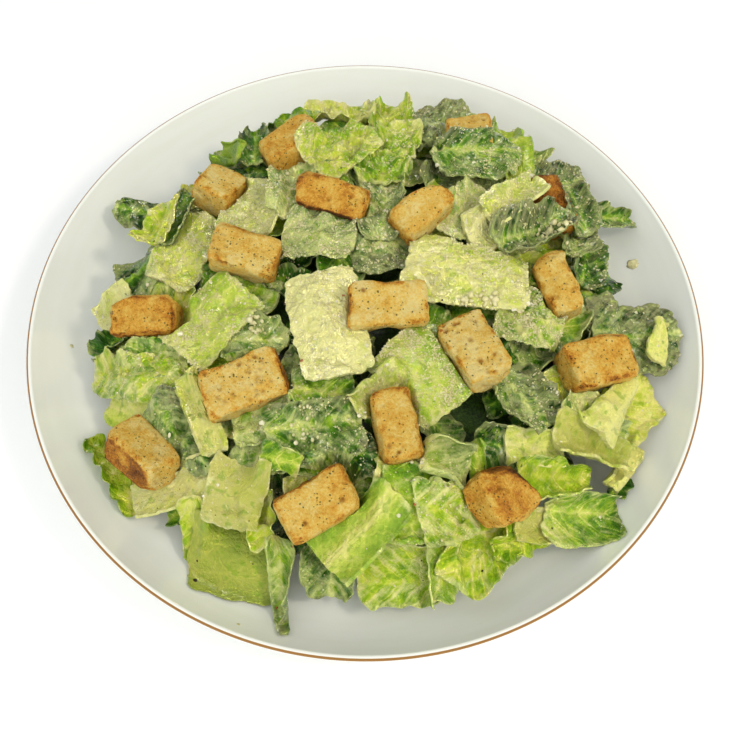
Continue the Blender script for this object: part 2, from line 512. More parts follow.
def croutonMaps():
    # heights of the croutons' tops, and of the undersides with a slope that leads away from them
    top, under = blankMap(-50), blankMap(200)
    for name in sorted(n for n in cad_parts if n.startswith("crouton")):
        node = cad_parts[name]
        tree = BVHTree.FromPolygons([v.co for v in node.data.vertices], [p.vertices[:] for p in node.data.polygons])
        low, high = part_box(name)
        for i in range(int(mapCell(low.x / mm)), int(mapCell(high.x / mm)) + 2):
            for j in range(int(mapCell(low.y / mm)), int(mapCell(high.y / mm)) + 2):
                x, y = (i - mapSize / 2) * mm, (j - mapSize / 2) * mm
                fromAbove = tree.ray_cast(Vector((x, y, 0.2)), Vector((0, 0, -1)))[0]
                if fromAbove:
                    fromBelow = tree.ray_cast(Vector((x, y, -0.2)), Vector((0, 0, 1)))[0]
                    top[i, j] = max(top[i, j], fromAbove.z / mm)
                    under[i, j] = min(under[i, j], fromBelow.z / mm + 1.0)
    slope = 2.4
    for spread in range(8):
        wide = np.pad(under, 1, mode="edge")
        for a, b in ((0, 1), (2, 1), (1, 0), (1, 2)):
            under = np.minimum(under, wide[a:a + mapSize, b:b + mapSize] + slope)
    return top, under


def widen(field, reach):
    # spreads raised places outwards so that a stiff piece bridges them instead of clinging
    for k in range(reach):
        field = np.maximum(field, blurGrid(field))
    return field


def settle(points, clear, sag, over):
    # lets a piece down on what lies under it: partly lifted whole, partly bent
    x, y, z = points[..., 0], points[..., 1], points[..., 2].copy()
    ground = widen(pile, 3)
    if over:
        ground = np.maximum(ground, croutonTop)
    ground = sampleMap(ground, x, y)
    z -= sag * np.maximum(0, z - ground - 5.0)
    need = np.maximum(0, ground + clear - z)
    lift = np.percentile(need, 75) * 0.8
    z += lift
    need = np.maximum(0, need - lift)
    z += widen(need, 28)
    if not over:
        z = np.minimum(z, sampleMap(croutonUnder, x, y))
    z = np.maximum(z, plateInside(np.hypot(x, y)) + 0.5)
    z = np.minimum(z, heapTop - 0.8)
    out = points.copy()
    out[..., 2] = z
    return out


def gridNormals(points):
    du = np.gradient(points, axis=0)
    dv = np.gradient(points, axis=1)
    normal = np.cross(du, dv)
    return normal / np.maximum(np.linalg.norm(normal, axis=2, keepdims=True), 1e-9)


def creases(u, v, slope, draw):
    # a few blunt folds across the piece, level on the whole
    height = np.zeros_like(u)
    for k in range(3):
        a = draw.uniform(0, math.pi)
        beyond = u * math.cos(a) + v * math.sin(a) - draw.uniform(-6, 6)
        height += slope * draw.uniform(-1, 1) * 0.5 * (beyond + np.sqrt(beyond ** 2 + 1.5))
    plane = np.stack([u.ravel(), v.ravel(), np.ones(u.size)], axis=1)
    fit = np.linalg.lstsq(plane, height.ravel(), rcond=None)[0]
    return height - (plane @ fit).reshape(u.shape)


def makeLeaf(row, seed, over=False, step=None):
    kind, x, y, turn, length, width, lift, dip, cant, cup, taper, toneA, toneB, cheese, wet = row
    (thick, ridge, ridgeWide, blister, cell, ruffle, wave, wobble, rag, sag, roll, twist, warm, fine, vee,
     curl, crease, plain, clear) = leafKinds[kind]
    draw = np.random.default_rng(seed)
    step = step or fine
    nu, nv = max(6, round(length / step)), max(6, round(width / step))
    s = np.linspace(-1, 1, nu)[:, None] * np.ones((1, nv))
    t = np.linspace(-1, 1, nv)[None, :] * np.ones((nu, 1))
    edge = np.maximum(abs(s), abs(t)) ** 3
    tell = seed * 7.31
    outU = softNoise(s * 1.6 + tell, t * 1.6, 1.0) * rag + softNoise(s * length / 5, t * width / 5, tell) * 0.02
    outV = softNoise(s * 1.6, t * 1.6 + tell, 5.0) * rag + softNoise(s * length / 5, t * width / 5, tell + 9) * 0.02
    spread = 2 / (1 + taper) * (1 + (taper - 1) * (s + 1) / 2)
    corner = 1 - (0.15 if ruffle > 1 else 0.06) * (s * t) ** 4
    u = s * length / 2 * (1 + (outU - 0.5 * rag) * edge) * corner
    v = t * width / 2 * spread * (1 + (outV - 0.5 * rag) * edge) * corner
    jag = softNoise(u / 1.1, v / 1.1, tell) * 0.35 + softNoise(u / 2.8, v / 2.8, tell + 3) * 0.5
    u = u + np.sign(s) * jag * (abs(s) > 0.999)
    v = v + np.sign(t) * jag * (abs(t) > 0.999)

    ribPlace = 0.25 * softNoise(seed * 3.7, 0.5, 0.5) * width
    offRib = v - ribPlace
    ridgeShape = np.exp(-(offRib / ridgeWide) ** 2)
    z = cup * t ** 2 - abs(cup) * 0.4 * s ** 2 + creases(u, v, crease, draw)
    z = z + wobble * (softNoise(u / 19, v / 19, tell) + 0.35 * softNoise(u / 9, v / 9, tell + 4))
    z = z + ridge * ridgeShape + 0.10 * softNoise(u / 12, v / 0.9, tell) * min(1, ridge)
    fan = u * 0.78 + abs(offRib) * 0.62
    gap = cellGap(fan / cell, offRib / (cell * 0.75), int(seed * 13) + 5)
    z = z + blister * (smoothStep(0, 0.55, gap) - 0.5) * (1 - 0.8 * ridgeShape)
    z = z + 0.10 * softNoise(u / 2.2, v / 2.2, tell) * (0.4 + blister)
    vein = 1 - smoothStep(0.02, 0.26, gap)
    margin = smoothStep(0.25, 1.0, t)
    both = margin + (smoothStep(0.25, 1.0, -t) + smoothStep(0.5, 1.0, s) if kind == "frill" else 0)
    fanLine = u - abs(offRib) * 1.15 + 1.2 * softNoise(u / 6, v / 6, tell + 6)
    veinRun = fanLine / (cell * 1.25)
    pinnate = np.exp(-((veinRun - np.floor(veinRun) - 0.5) * cell * 1.25 / 0.62) ** 2) * (1 - ridgeShape)
    pinnate = pinnate * smoothStep(0.0, 3.0, abs(offRib)) * (0.35 + 0.65 * (blister > 0.3))
    z = z - 0.36 * pinnate + vee * abs(offRib) / width * 2
    vein = np.maximum(0.45 * vein, pinnate)
    for k in range(3):
        corner = draw.choice((45, 135, 225, 315)) + draw.uniform(-35, 35)
        reach = np.maximum(0, s * math.cos(math.radians(corner)) + t * math.sin(math.radians(corner)) - 0.55)
        z = z + draw.uniform(-0.35, 1.0) * curl * (reach / 0.8) ** 1.7
    phase = u * math.tau / wave + 2.2 * softNoise(u / 11, tell, 0.5)
    z = z + ruffle * both * np.sin(phase)
    v = v + 0.2 * ruffle * both * np.cos(phase + 0.6) * np.sign(t)

    flatU, flatV = u.copy(), v.copy()
    if roll:
        angle = np.radians(roll) * t / 2
        radius = width / np.radians(roll)
        v, z = (radius - z) * np.sin(angle), radius - (radius - z) * np.cos(angle)
    if twist:
        angle = np.radians(twist) * s * (1 if int(seed) % 2 else -1)
        v, z = v * np.cos(angle) - z * np.sin(angle), v * np.sin(angle) + z * np.cos(angle)
    basis, origin = leafPlace(x, y, turn, lift, dip, cant)
    points = np.stack([u, v, z], axis=2) @ basis.T + origin
    away = np.hypot(points[..., 0], points[..., 1])
    points[..., :2] *= np.minimum(1, heap["edge"] / np.maximum(away, 1))[..., None]
    points = settle(points, 0.5 + thick, sag, over)
    raiseMap(pile, points[..., 0], points[..., 1], points[..., 2])

    normal = gridNormals(points)
    depth = thick * (0.75 + 0.5 * ridgeShape) * (1 - 0.35 * margin)
    below = points - normal * depth[..., None]
    tone = toneA + (toneB - toneA) * (s + 1) / 2 + 0.12 * margin * (1 - clear)
    tone = tone - ridgeShape * min(1.0, ridge) * (0.1 + 0.55 * tone)
    tone = tone + 0.05 * softNoise(u / 9, v / 9, tell + 2)
    n = nu * nv
    index = np.arange(n).reshape(nu, nv)
    quads = np.stack([index[:-1, :-1], index[1:, :-1], index[1:, 1:], index[:-1, 1:]], axis=2).reshape(-1, 4)
    ring = np.concatenate([index[:, 0], index[-1, 1:], index[-2::-1, -1], index[0, -2:0:-1]])
    onward = np.roll(ring, -1)
    rim = np.column_stack([onward, ring, ring + n, onward + n])
    faces = np.concatenate([quads, quads[:, ::-1] + n, rim])
    verts = np.concatenate([points.reshape(-1, 3), below.reshape(-1, 3)])
    pos = np.column_stack([flatU.ravel(), flatV.ravel(), np.full(n, tell * 5)])
    fan = np.column_stack([(fanLine / (cell * 1.25)).ravel(), offRib.ravel(), np.full(n, tell * 5)])
    flat = {
        "leafPos": np.concatenate([pos, pos]),
        "fan": np.concatenate([fan, fan]),
        "tone": np.tile(tone.ravel(), 2),
        "vein": np.tile(vein.ravel(), 2),
        "warm": np.full(2 * n, warm + 0.25 * float(softNoise(seed * 1.9, 3.3, 0.2))),
        "cheese": np.tile((cheese * (0.6 + 0.5 * softNoise(u / 6, v / 6, tell))).ravel(), 2),
        "wet": np.tile((wet + 0.35 * smoothStep(0.82, 1.0, np.maximum(abs(s), abs(t)))).ravel(), 2),
        "plain": np.full(2 * n, float(plain)),
        "clear": np.full(2 * n, float(clear)),
        "strie": np.tile((ridgeShape * min(1, ridge)).ravel(), 2),
    }
    seen = {"points": points.reshape(-1, 3), "normal": normal.reshape(-1, 3), "cheese": flat["cheese"][:n],
            "wet": flat["wet"][:n]}
    return kind, verts, faces, flat, seen


def fillerRows():
    # more pieces of random cut, all over the heap and down its flank to the plate
    draw = np.random.default_rng(fillers["seed"])
    rows, spots = [], []
    tries = 0
    while len(rows) < fillers["count"] and tries < 4000:
        tries += 1
        around = draw.uniform(0, math.tau)
        radius = 90 * math.sqrt(draw.uniform(0, 1))
        x, y = heap["centre"][0] + radius * math.cos(around), heap["centre"][1] + radius * math.sin(around)
        inGap = any(math.hypot(x - a, y - b) < r + 9 for a, b, r in darkGaps)
        if any(math.hypot(x - a, y - b) < fillers["apart"] * (0.8 if radius > 70 else 1) for a, b in spots):
            continue
        spots.append((x, y))
        rim = radius > 74
        kind = "outer" if inGap else draw.choice(["outer", "mid", "heart", "slab"], p=[0.36, 0.30, 0.22, 0.12])
        base = {"outer": 0.85, "mid": 0.6, "heart": 0.42, "slab": 0.2}[kind]
        length, width = draw.uniform(*fillers["length"]), draw.uniform(*fillers["width"])
        lift = draw.uniform(-2, 1) if rim else draw.uniform(-5, -2)
        if inGap:
            lift, length, width = draw.uniform(-9, -6), length * 0.7, width * 0.8
        tone = base + draw.uniform(-0.08, 0.08)
        rows.append((str(kind), x, y, math.degrees(around) + draw.choice((0, 90)) + draw.uniform(-40, 40), length,
                     width, lift, draw.uniform(-8, 8), draw.uniform(-10, 10), draw.choice((-4, -3, 3, 5)),
                     draw.uniform(0.6, 1), tone, tone + draw.uniform(-0.1, 0.1), draw.uniform(0, 0.4),
                     draw.uniform(0.3, 0.8)))
    return rows


def footRows():
    # two rows of pieces that hang down the flank of the heap on to the plate, all round
    draw = np.random.default_rng(flank["seed"])
    rows = []
    for radius, lift, dip in flank["rows"]:
        for k in range(flank["count"]):
            around = math.tau * (k + draw.uniform(-0.3, 0.3)) / flank["count"]
            x, y = heap["centre"][0] + radius * math.cos(around), heap["centre"][1] + radius * math.sin(around)
            kind = str(draw.choice(["outer", "mid", "heart"], p=[0.4, 0.35, 0.25]))
            tone = {"outer": 0.85, "mid": 0.6, "heart": 0.42}[kind] + draw.uniform(-0.08, 0.08)
            rows.append((kind, x, y, math.degrees(around) + draw.uniform(-18, 18), draw.uniform(20, 27),
                         draw.uniform(17, 25), lift + draw.uniform(-1, 1), dip + draw.uniform(-8, 8),
                         draw.uniform(-10, 10), draw.choice((-3, 3)), draw.uniform(0.7, 1), tone, tone + 0.1, 0.1, 0.5))
    return rows


def darkRomaine():
    # packed leaf deep in the heap, out of the light: near-black green
    material, tree, shader = newMaterial("romaine, packed core", Roughness=0.6)
    patch = addNode(tree, "TexNoise", {"Scale": 160.0, "Detail": 3.0})
    colour = addNode(tree, "ValToRGB", {0: patch.outputs["Fac"]}, stops=[(0.35, "#22340f"), (0.7, "#4a6a1f")])
    tree.links.new(colour.outputs[0], shader.inputs["Base Color"])
    return material


def addCore():
    steps, rings = 150, 64
    turn = np.arange(steps) * math.tau / steps
    verts, reach = [], heap["coreRadius"]
    for k in range(1, rings + 1):
        r = reach * k / rings
        x = heap["centre"][0] + r * np.cos(turn)
        y = heap["centre"][1] + r * np.sin(turn)
        crumple = 3.2 * softNoise(x / 9, y / 9, 2.0) + 2.4 * (smoothStep(0, 0.5, cellGap(x / 11, y / 11, 4)) - 0.5)
        z = domeHeight(x, y) - heap["coreDepth"] + crumple * min(1, (rings - k) / 8 + 0.2)
        z = np.minimum(z, sampleMap(croutonUnder, x, y) - 1.5)
        z = np.maximum(z, plateInside(np.hypot(x, y)) + 0.4)
        verts.append(np.column_stack([x, y, z]))
    foot = verts[-1].copy()
    foot[:, 2] = plateInside(np.hypot(foot[:, 0], foot[:, 1])) + 0.4
    verts.append(foot)
    middle = np.array([[heap["centre"][0], heap["centre"][1], float(domeHeight(*heap["centre"])) - heap["coreDepth"]]])
    verts = np.concatenate(verts + [middle])
    around, onward = np.arange(steps), (np.arange(steps) + 1) % steps
    faces = [np.column_stack([k * steps + around, (k + 1) * steps + around, (k + 1) * steps + onward,
                              k * steps + onward]) for k in range(rings)]
    core = buildMesh("romaine_core", verts, np.concatenate(faces), {}, darkRomaine())
    closeMiddle(core, len(verts) - 1, around, onward, False)
    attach(core, "root")
    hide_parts("lettuce")
    raiseMap(pile, verts[:, 0], verts[:, 1], verts[:, 2])
    for k in range(3):
        pile[:] = np.maximum(pile, blurGrid(pile))


def romaineLeaf():
    # romaine, cut and tossed: a waxy leaf, lighter along its veins, under a patchy film of creamy dressing that
    # makes it milky, with fine dust of grated cheese
    material, tree, shader = newMaterial("romaine leaf, cut and dressed", Roughness=0.4, IOR=1.45)
    size = {"fineVein": 1.9, "mottle": 7.0, "film": 4.2, "dust": 0.8, "spot": 3.0, "ripple": 1.4, "wander": 4.0,
            "bead": 1.7}      # mm
    pos = addNode(tree, "Attribute", attribute_name="leafPos").outputs["Vector"]
    tone, vein, warm, cheese, wet, strie, plain, clear = (
        addNode(tree, "Attribute", attribute_name=name).outputs["Fac"]
        for name in ("tone", "vein", "warm", "cheese", "wet", "strie", "plain", "clear"))
    net = addNode(tree, "TexVoronoi", {"Vector": pos, "Scale": 1 / size["fineVein"]}, feature="DISTANCE_TO_EDGE")
    fineVein = addNode(tree, "MapRange", {0: net.outputs["Distance"], 1: 0.0, 2: 0.16, 3: 1.0, 4: 0.0}).outputs[0]
    mottle = addNode(tree, "TexNoise", {"Vector": pos, "Scale": 1 / size["mottle"], "Detail": 4.0}).outputs["Fac"]
    stretched = addNode(tree, "Mapping", {"Vector": pos, "Scale": (0.07, 1.0, 1.0)}).outputs[0]
    streak = addNode(tree, "TexNoise", {"Vector": stretched, "Scale": 1.0, "Detail": 3.0}).outputs["Fac"]

    run = addNode(tree, "SeparateXYZ", {0: addNode(tree, "Attribute", attribute_name="fan").outputs["Vector"]})
    wander = addNode(tree, "TexNoise", {"Vector": pos, "Scale": 1 / size["wander"], "Detail": 2.0}).outputs["Fac"]
    along = addNode(tree, "Math", {0: wander, 1: 0.5, 2: run.outputs[0]}, operation="MULTIPLY_ADD").outputs[0]
    branches = None
    for times, wide, strength in ((1.0, 0.10, 1.0), (3.0, 0.16, 0.45)):
        place = addNode(tree, "Math", {0: along, 1: times}, operation="MULTIPLY").outputs[0]
        saw = addNode(tree, "Math", {0: place, 1: 1.0}, operation="PINGPONG").outputs[0]
        line = addNode(tree, "MapRange", {0: saw, 1: 0.0, 2: wide, 3: strength, 4: 0.0}).outputs[0]
        branches = line if branches is None else addNode(tree, "Math", {0: branches, 1: line},
                                                         operation="MAXIMUM").outputs[0]

    uneven = addNode(tree, "Math", {0: plain, 1: -1.0, 2: 1.0}, operation="MULTIPLY_ADD").outputs[0]
    shift = addNode(tree, "MapRange", {0: mottle, 1: 0.3, 2: 0.7, 3: -0.12, 4: 0.29}).outputs[0]
    shift = addNode(tree, "Math", {0: shift, 1: uneven}, operation="MULTIPLY").outputs[0]
    veined = addNode(tree, "Math", {0: uneven, 1: -0.24, 2: -0.04}, operation="MULTIPLY_ADD").outputs[0]
    toned = addNode(tree, "Math", {0: tone, 1: shift}, operation="ADD").outputs[0]
    toned = addNode(tree, "Math", {0: vein, 1: -0.30, 2: toned}, operation="MULTIPLY_ADD").outputs[0]
    toned = addNode(tree, "Math", {0: fineVein, 1: -0.07, 2: toned}, operation="MULTIPLY_ADD").outputs[0]
    toned = addNode(tree, "Math", {0: branches, 1: veined, 2: toned}, operation="MULTIPLY_ADD").outputs[0]
    streaked = addNode(tree, "MapRange", {0: streak, 1: 0.35, 2: 0.65, 3: -0.10, 4: 0.10}).outputs[0]
    streaked = addNode(tree, "Math", {0: streaked, 1: strie}, operation="MULTIPLY").outputs[0]
    toned = addNode(tree, "Math", {0: toned, 1: streaked}, operation="ADD", use_clamp=True).outputs[0]
    yellow = addNode(tree, "ValToRGB", {0: toned}, stops=[
        (0.0, "#e2dc7c"), (0.22, "#cbd042"), (0.42, "#a0bc18"), (0.65, "#67920f"), (1.0, "#28500b")]).outputs[0]
    green = addNode(tree, "ValToRGB", {0: toned}, stops=[
        (0.0, "#dad97e"), (0.22, "#b2c54c"), (0.42, "#7ea628"), (0.65, "#3e7318"), (1.0, "#11330b")]).outputs[0]
    leaf = addNode(tree, "Mix", {0: warm, 6: green, 7: yellow}, data_type="RGBA").outputs[2]
    juicy = addNode(tree, "Math", {0: clear, 1: 0.55}, operation="MULTIPLY").outputs[0]
    leaf = addNode(tree, "Mix", {0: juicy, 6: leaf, 7: linearColour("#98964c")}, data_type="RGBA").outputs[2]
    spots = addNode(tree, "TexNoise", {"Vector": pos, "Scale": 1 / size["spot"], "Detail": 1.0}).outputs["Fac"]
    spotted = addNode(tree, "MapRange", {0: spots, 1: 0.60, 2: 0.68, 3: 0.0, 4: 0.6}).outputs[0]
    leaf = addNode(tree, "Mix", {0: spotted, 6: leaf, 7: linearColour("#7fa024")}, data_type="RGBA").outputs[2]

    pool = addNode(tree, "TexNoise", {"Vector": pos, "Scale": 1 / size["film"], "Detail": 7.0,
                                      "Roughness": 0.72, "Distortion": 0.6}).outputs["Fac"]
    drawnOut = addNode(tree, "CombineXYZ", {
        0: addNode(tree, "Math", {0: along, 1: 2.6}, operation="MULTIPLY").outputs[0],
        1: addNode(tree, "Math", {0: run.outputs[1], 1: 0.16}, operation="MULTIPLY").outputs[0],
        2: run.outputs[2]}).outputs[0]
    smear = addNode(tree, "TexNoise", {"Vector": drawnOut, "Scale": 1.0, "Detail": 5.0, "Roughness": 0.65}).outputs["Fac"]
    pool = addNode(tree, "Mix", {0: 0.5, 2: pool, 3: smear}, data_type="FLOAT").outputs[0]
    pool = addNode(tree, "Math", {0: vein, 1: 0.10, 2: pool}, operation="MULTIPLY_ADD").outputs[0]
    pool = addNode(tree, "Math", {0: wet, 1: 0.30, 2: pool}, operation="MULTIPLY_ADD").outputs[0]
    film = addNode(tree, "MapRange", {0: pool, 1: 0.675, 2: 0.79, 3: 0.0, 4: 1.0}).outputs[0]
    cover = addNode(tree, "MapRange", {0: toned, 1: 0.1, 2: 0.8, 3: 0.76, 4: 0.34}).outputs[0]
    film = addNode(tree, "Math", {0: film, 1: cover}, operation="MULTIPLY").outputs[0]
    coated = addNode(tree, "Mix", {0: film, 6: leaf, 7: linearColour("#dcd898")}, data_type="RGBA").outputs[2]

    dust = addNode(tree, "TexVoronoi", {"Vector": pos, "Scale": 1 / size["dust"]}, feature="F1")
    lot = addNode(tree, "SeparateColor", {0: dust.outputs["Color"]}).outputs[0]
    drawn = addNode(tree, "Math", {0: lot, 1: cheese}, operation="LESS_THAN").outputs[0]
    grain = addNode(tree, "MapRange", {0: dust.outputs["Distance"], 1: 0.5, 2: 0.3, 3: 0.0, 4: 1.0}).outputs[0]
    grain = addNode(tree, "Math", {0: grain, 1: drawn}, operation="MULTIPLY").outputs[0]
    dusting = addNode(tree, "Math", {0: grain, 1: 0.75}, operation="MULTIPLY").outputs[0]
    finish = addNode(tree, "Mix", {0: dusting, 6: coated, 7: linearColour("#e8e0ae")}, data_type="RGBA").outputs[2]
    tree.links.new(finish, shader.inputs["Base Color"])

    rough = addNode(tree, "MapRange", {0: film, 1: 0.0, 2: 0.62, 3: 0.32, 4: 0.18}).outputs[0]
    rough = addNode(tree, "Math", {0: grain, 1: 0.35, 2: rough}, operation="MULTIPLY_ADD").outputs[0]
    tree.links.new(rough, shader.inputs["Roughness"])
    height = addNode(tree, "Math", {0: fineVein, 1: -0.25, 2: mottle}, operation="MULTIPLY_ADD").outputs[0]
    height = addNode(tree, "Math", {0: film, 1: 0.5, 2: height}, operation="MULTIPLY_ADD").outputs[0]
    height = addNode(tree, "Math", {0: branches, 1: -0.3, 2: height}, operation="MULTIPLY_ADD").outputs[0]
    height = addNode(tree, "Math", {0: grain, 1: 0.9, 2: height}, operation="MULTIPLY_ADD").outputs[0]
    streakHeight = addNode(tree, "Math", {0: streak, 1: strie}, operation="MULTIPLY").outputs[0]
    height = addNode(tree, "Math", {0: height, 1: streakHeight}, operation="ADD").outputs[0]
    ripple = addNode(tree, "TexNoise", {"Vector": pos, "Scale": 1 / size["ripple"], "Detail": 3.0}).outputs["Fac"]
    height = addNode(tree, "Math", {0: ripple, 1: 0.8, 2: height}, operation="MULTIPLY_ADD").outputs[0]
    bump = addNode(tree, "Bump", {"Height": height, "Strength": 0.9, "Distance": 0.0009})
    tree.links.new(bump.outputs[0], shader.inputs["Normal"])
    beads = addNode(tree, "TexNoise", {"Vector": pos, "Scale": 1 / size["bead"], "Detail": 2.0}).outputs["Fac"]
    wetSurface = addNode(tree, "Bump", {"Height": beads, "Strength": 1.0, "Distance": 0.00042})
    tree.links.new(wetSurface.outputs[0], shader.inputs["Coat Normal"])
    shader.inputs["Specular IOR Level"].default_value = 0.25
    shader.inputs["Coat Weight"].default_value = 0.6
    shader.inputs["Coat Roughness"].default_value = 0.13
    shader.inputs["Subsurface Weight"].default_value = 0.22
    shader.inputs["Subsurface Radius"].default_value = (0.9, 1.0, 0.3)
    shader.inputs["Subsurface Scale"].default_value = 0.0014
    return material


def addRomaine():
    groups = {}
    rows = [(row, False, 1.5) for row in fillerRows()] + [(row, False, None) for row in romaine]
    rows += [(row, True, None) for row in laidOver]
    numbered = [(900 + k, (row, False, 1.5)) for k, row in enumerate(footRows())] + list(enumerate(rows, start=1))
    for seed, (row, over, step) in numbered:
        kind, verts, faces, flat, seen = makeLeaf(row, seed, over, step)
        group = "filler" if step else kind
        groups.setdefault(group, []).append((verts, faces, flat))
        for key in surface:
            surface[key].append(seen[key])
    material = romaineLeaf()
    for group, parts in sorted(groups.items()):
        offset, faces = 0, []
        for verts, quads, flat in parts:
            faces.append(quads + offset)
            offset += len(verts)
        verts = np.concatenate([p[0] for p in parts])
        values = {key: np.concatenate([p[2][key] for p in parts]) for key in parts[0][2]}
        obj = buildMesh("romaine_" + group, verts, np.concatenate(faces), values, material, sharp=62)
        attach(obj, "root")
        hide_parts("lettuce")
        print("romaine", group, len(parts), "pieces,", 2 * sum(len(p[1]) for p in parts), "triangles")


# Croutons

bread = {"step": 0.56, "cadRounding": 3.4, "rounding": 2.1, "poreSpacing": 3.3, "grain": 1.1, "lump": 7.0}

# Toasting: how browned the crouton is all over, then the way its darkest face points and how dark that is
toasting = {
    1: (0.30, (0.5, 0.2, -0.8), 0.5), 2: (0.12, (0.6, -0.6, -0.3), 0.45), 3: (0.36, (-0.1, -0.9, -0.25), 0.95),
    4: (0.16, (-0.5, -0.6, -0.6), 0.45), 5: (0.18, (0.6, -0.2, -0.5), 0.3), 6: (0.16, (0.7, -0.6, -0.2), 0.4),
    7: (0.66, (0.0, -0.8, -0.4), 0.4), 8: (0.10, (-0.95, -0.2, -0.1), 0.55), 9: (0.16, (-0.8, -0.3, -0.2), 0.4),
    10: (0.36, (0.2, -0.85, -0.4), 0.60), 11: (0.06, (-0.4, 0.6, -0.3), 0.3), 12: (0.26, (0.8, 0.3, -0.2), 0.45),
    13: (0.14, (0.95, 0.1, -0.1), 0.7), 14: (0.22, (0.9, -0.2, -0.3), 0.4), 15: (0.16, (-0.75, -0.5, -0.3), 0.9),
    16: (0.20, (-0.2, 0.9, 0.1), 0.6), 17: (0.32, (0.55, 0.70, 0.42), 1.0),
}

# Corners broken off: the ways they point
uneven = {17: [(-0.75, 0.65, 0.2), (0.8, 0.75, 0.4), (0.8, -0.7, 0), (-0.6, -0.8, 0)], 10: [(-0.5, 0.8, 0.3), (0.7, 0.8, 0.2)]}


def toastedBread():
    # white bread, diced, seasoned and oven-toasted: matt open crumb, honey gold to brown at edges and faces that
    # met the tray, flecked with dried herb
    material, tree, shader = newMaterial("bread, diced and toasted", Roughness=0.75, IOR=1.4)
    size = {"blotch": 0.0058, "crumb": 0.0008, "herb": 0.0011, "spice": 0.0030,
            "cluster": 0.0060}          # metres
    where = addNode(tree, "NewGeometry").outputs["Position"]
    brown, pit, edge = (addNode(tree, "Attribute", attribute_name=name).outputs["Fac"]
                        for name in ("brown", "pit", "edge"))
    blotch = addNode(tree, "TexNoise", {"Vector": where, "Scale": 1 / size["blotch"], "Detail": 6.0,
                                        "Roughness": 0.68}).outputs["Fac"]
    crumb = addNode(tree, "TexNoise", {"Vector": where, "Scale": 1 / size["crumb"], "Detail": 4.0,
                                       "Roughness": 0.7}).outputs["Fac"]
    toast = addNode(tree, "MapRange", {0: blotch, 1: 0.35, 2: 0.70, 3: -0.14, 4: 0.24}).outputs[0]
    toast = addNode(tree, "Math", {0: toast, 1: brown}, operation="ADD").outputs[0]
    worn = addNode(tree, "MapRange", {0: blotch, 1: 0.42, 2: 0.66, 3: 0.0, 4: 0.44}).outputs[0]
    toast = addNode(tree, "Math", {0: edge, 1: worn, 2: toast}, operation="MULTIPLY_ADD").outputs[0]
    speck = addNode(tree, "MapRange", {0: crumb, 1: 0.35, 2: 0.65, 3: -0.13, 4: 0.14}).outputs[0]
    toast = addNode(tree, "Math", {0: toast, 1: speck}, operation="ADD", use_clamp=True).outputs[0]
    colour = addNode(tree, "ValToRGB", {0: toast}, stops=[
        (0.0, "#efd88a"), (0.2, "#ebc55e"), (0.4, "#e0a63a"), (0.6, "#c47e26"), (0.8, "#8c5218"),
        (1.0, "#4c2b0e")]).outputs[0]
    inside = addNode(tree, "Math", {0: pit, 1: 0.75}, operation="MULTIPLY").outputs[0]
    colour = addNode(tree, "Mix", {0: inside, 6: colour, 7: linearColour("#a8681f")}, data_type="RGBA").outputs[2]
    bend = addNode(tree, "TexNoise", {"Vector": where, "Scale": 900.0, "Detail": 1.0}).outputs["Color"]
    cluster = addNode(tree, "TexNoise", {"Vector": where, "Scale": 1 / size["cluster"], "Detail": 1.0}).outputs["Fac"]
    crowd = addNode(tree, "MapRange", {0: cluster, 1: 0.38, 2: 0.66, 3: 0.05, 4: 0.80}).outputs[0]
    for name, code, share, reach in (("herb", "#4d4416", 1.0, 0.42), ("spice", "#b0561a", 0.4, 0.28)):
        warped = addNode(tree, "VectorMath", {0: bend, 1: (0.0007, 0.0007, 0.0007), 2: where},
                         operation="MULTIPLY_ADD").outputs[0]
        cell = addNode(tree, "TexVoronoi", {"Vector": warped, "Scale": 1 / size[name]}, feature="F1")
        lot = addNode(tree, "SeparateColor", {0: cell.outputs["Color"]}).outputs[1]
        chance = addNode(tree, "Math", {0: crowd, 1: share}, operation="MULTIPLY").outputs[0]
        drawn = addNode(tree, "Math", {0: lot, 1: chance}, operation="LESS_THAN").outputs[0]
        smaller = addNode(tree, "SeparateColor", {0: cell.outputs["Color"]}).outputs[0]
        away = addNode(tree, "Math", {0: smaller, 1: 0.30, 2: cell.outputs["Distance"]}, operation="MULTIPLY_ADD")
        fleck = addNode(tree, "MapRange", {0: away.outputs[0], 1: reach, 2: reach * 0.7, 3: 0.0, 4: 0.85})
        fleck = addNode(tree, "Math", {0: fleck.outputs[0], 1: drawn}, operation="MULTIPLY").outputs[0]
        colour = addNode(tree, "Mix", {0: fleck, 6: colour, 7: linearColour(code)}, data_type="RGBA").outputs[2]
    tree.links.new(colour, shader.inputs["Base Color"])
    bump = addNode(tree, "Bump", {"Height": crumb, "Strength": 1.0, "Distance": 0.0014})
    tree.links.new(bump.outputs[0], shader.inputs["Normal"])
    shader.inputs["Subsurface Weight"].default_value = 0.12
    shader.inputs["Subsurface Radius"].default_value = (1.0, 0.55, 0.2)
    shader.inputs["Subsurface Scale"].default_value = 0.0015
    return material


def blockAxes(mesh):
    # the three face directions of a block, from its largest flat faces
    ranked = sorted(mesh.polygons, key=lambda p: p.area, reverse=True)
    first = ranked[0].normal.copy()
    second = next(p.normal.copy() for p in ranked if abs(p.normal.dot(first)) < 0.35)
    second = (second - first * second.dot(first)).normalized()
    return np.array((first, second, first.cross(second)))


